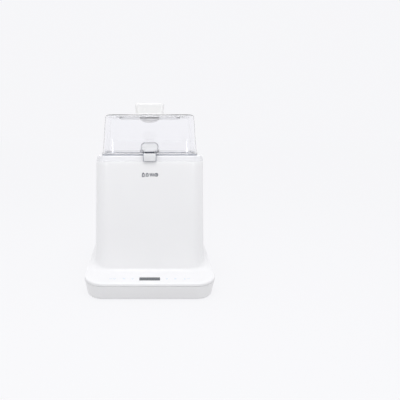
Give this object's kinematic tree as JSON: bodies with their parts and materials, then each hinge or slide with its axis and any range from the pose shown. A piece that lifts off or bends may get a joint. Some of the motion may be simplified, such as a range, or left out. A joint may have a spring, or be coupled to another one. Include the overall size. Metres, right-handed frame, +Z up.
{
  "type": "bottle sterilizer",
  "caption": "Upright bottle steriliser and dryer: clear hinged lid with a rocker latch, lift-out tray and rack, heated chamber, warm-air blower and a sloping touch deck.",
  "frame": {"origin": "on the floor under the middle of the foot (centre of the bounding box's bottom face)", "axes": "+Z up, the front with the touch deck and latch faces -Y, +X to the right seen from the front"},
  "size_m": [0.27, 0.262, 0.3975],
  "materials": {
    "housing_white": "satin moulded white",
    "pan_white": "satin moulded white",
    "handle_white": "satin moulded white",
    "clear_lid": "clear polished",
    "clear_collar": "clear polished",
    "tub_white": "smooth white",
    "rack_white": "fine matt white",
    "steel": "brushed",
    "dark_pin": "dark oxide",
    "silicone": "translucent matt",
    "foot_rubber": "matt grey",
    "board_green": "solder mask",
    "black_plastic": "matt black",
    "smoked_window": "smoked gloss",
    "contact_brass": "plated",
    "heater_alloy": "mill finish",
    "duct_plastic": "heat-resistant grey",
    "filter_foam": "open-cell foam"
  },
  "bodies": {
    "base": {"base_pan": "pan_white", "feet": "foot_rubber", "case_screws": "steel", "body_housing": "housing_white", "display_window": "smoked_window", "display_module": "black_plastic", "control_board": "board_green", "key_pads": "contact_brass", "power_board": "board_green", "power_components": "black_plastic", "mains_inlet": "black_plastic", "inlet_pins": "contact_brass", "inner_tub": "tub_white", "tub_collar": "clear_collar", "heating_plate": "steel", "plate_seal": "silicone", "heating_element": "steel", "element_strut": "steel", "strut_screws": "steel", "thermostat": "steel", "thermal_fuse": "black_plastic", "fan_housing": "duct_plastic", "fan_motor": "black_plastic", "air_heater": "heater_alloy", "air_duct": "duct_plastic", "air_grille": "tub_white", "hinge_block": "pan_white", "hinge_pin": "steel", "hinge_screws": "steel"},
    "lid": {"lid_shell": "clear_lid", "lid_gasket": "silicone", "handle_plate": "handle_white", "lid_handle": "handle_white", "handle_screws": "steel", "screw_cap": "clear_lid"},
    "latch": {"latch": "clear_collar", "latch_pin": "dark_pin"},
    "tray": {"upper_tray": "rack_white"},
    "rack": {"bottle_rack": "rack_white"},
    "fan": {"fan_impeller": "duct_plastic", "fan_shaft": "steel"},
    "filter": {"filter_cover": "pan_white", "filter_pad": "filter_foam"}
  },
  "joints": [
    {"name": "lid_hinge", "type": "hinge", "parent": "base", "child": "lid", "pos_m": [0, 0.107, 0.2915], "axis": [-1, 0, 0], "range_deg": [0, 95]},
    {"name": "latch_rock", "type": "hinge", "parent": "lid", "child": "latch", "pos_m": [0, -0.062, 0.2923], "axis": [-1, 0, 0], "range_deg": [-4, 12]},
    {"name": "tray_lift", "type": "slide", "parent": "base", "child": "tray", "axis": [0, 0, 1], "range_m": [0, 0.145]},
    {"name": "rack_lift", "type": "slide", "parent": "base", "child": "rack", "axis": [0, 0, 1], "range_m": [0, 0.142]},
    {"name": "fan_spin", "type": "hinge", "parent": "base", "child": "fan", "pos_m": [-0.052, 0.062, 0.02], "axis": [0, 0, 1], "continuous": true},
    {"name": "filter_pull", "type": "slide", "parent": "base", "child": "filter", "axis": [0, 0.9949, -0.1011], "range_m": [0, 0.03]}
  ],
  "couplings": [
    {"joint": "tray_lift", "follows": "lid_hinge", "m_per_rad": 0.085},
    {"joint": "rack_lift", "follows": "lid_hinge", "m_per_rad": 0.083}
  ]
}
